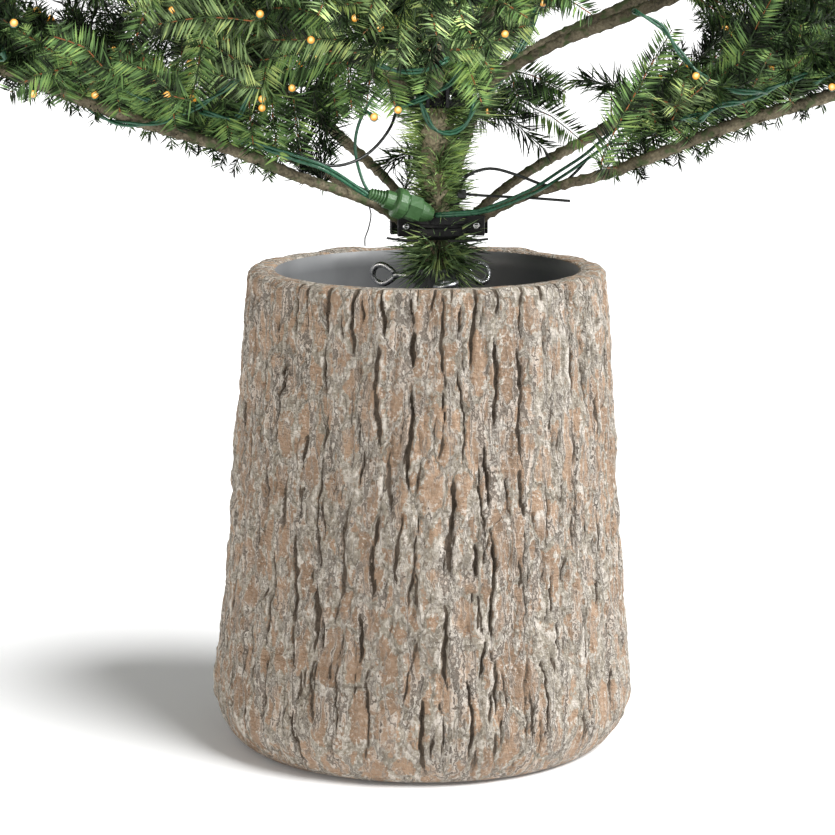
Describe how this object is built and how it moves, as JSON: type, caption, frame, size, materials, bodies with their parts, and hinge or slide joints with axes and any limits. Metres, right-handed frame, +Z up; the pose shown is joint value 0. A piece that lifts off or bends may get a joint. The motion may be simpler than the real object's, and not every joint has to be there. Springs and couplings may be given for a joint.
{
  "type": "artificial christmas tree in a pot",
  "caption": "Artificial conifer for indoor display, with wire boughs, needle sprays and small lights, its pole held by eye bolts in a cast pot shaped like a bark-covered stump",
  "frame": {"origin": "The middle of the pot's flat underside", "axes": "+Z is up along the trunk, the picture was taken from the -Y side, and +X is to its right"},
  "size_m": [1.1759, 1.1401, 1.829],
  "materials": {
    "bark": "matt",
    "bright_steel": "bright zinc",
    "painted_steel": "satin",
    "pole_tape": "matt",
    "bough_tape": "matt",
    "needles": "satin",
    "tinsel": "satin"
  },
  "bodies": {
    "root": {"eye_bolt_1": "bright_steel", "eye_bolt_2": "bright_steel", "eye_bolt_3": "bright_steel", "fifth_foliage_1": "needles", "fifth_foliage_2": "needles", "fifth_foliage_3": "needles", "fifth_foliage_4": "needles", "fifth_foliage_5": "needles", "fourth_foliage_1": "needles", "fourth_foliage_2": "needles", "fourth_foliage_3": "needles", "fourth_foliage_4": "needles", "fourth_foliage_5": "needles", "low_bough_1": "bough_tape", "low_bough_2": "bough_tape", "low_bough_3": "bough_tape", "low_bough_4": "bough_tape", "low_bough_5": "bough_tape", "low_bough_6": "bough_tape", "low_foliage_1": "needles", "low_foliage_2": "needles", "low_foliage_3": "needles", "low_foliage_4": "needles", "low_foliage_5": "needles", "low_foliage_6": "needles", "pot": "bark", "second_bough_1": "bough_tape", "second_bough_2": "bough_tape", "second_bough_3": "bough_tape", "second_bough_4": "bough_tape", "second_bough_5": "bough_tape", "second_bough_6": "bough_tape", "second_bough_7": "bough_tape", "second_foliage_1": "needles", "second_foliage_2": "needles", "second_foliage_3": "needles", "second_foliage_4": "needles", "second_foliage_5": "needles", "second_foliage_6": "needles", "second_foliage_7": "needles", "seventh_foliage_1": "needles", "seventh_foliage_2": "needles", "seventh_foliage_3": "needles", "seventh_foliage_4": "needles", "sixth_foliage_1": "needles", "sixth_foliage_2": "needles", "sixth_foliage_3": "needles", "sixth_foliage_4": "needles", "sixth_foliage_5": "needles", "stand_socket": "painted_steel", "third_foliage_1": "needles", "third_foliage_2": "needles", "third_foliage_3": "needles", "third_foliage_4": "needles", "third_foliage_5": "needles", "third_foliage_6": "needles", "top_foliage": "needles", "trunk_pole": "pole_tape", "trunk_tinsel": "tinsel", "trunk_tuft": "tinsel"}
  },
  "joints": []
}
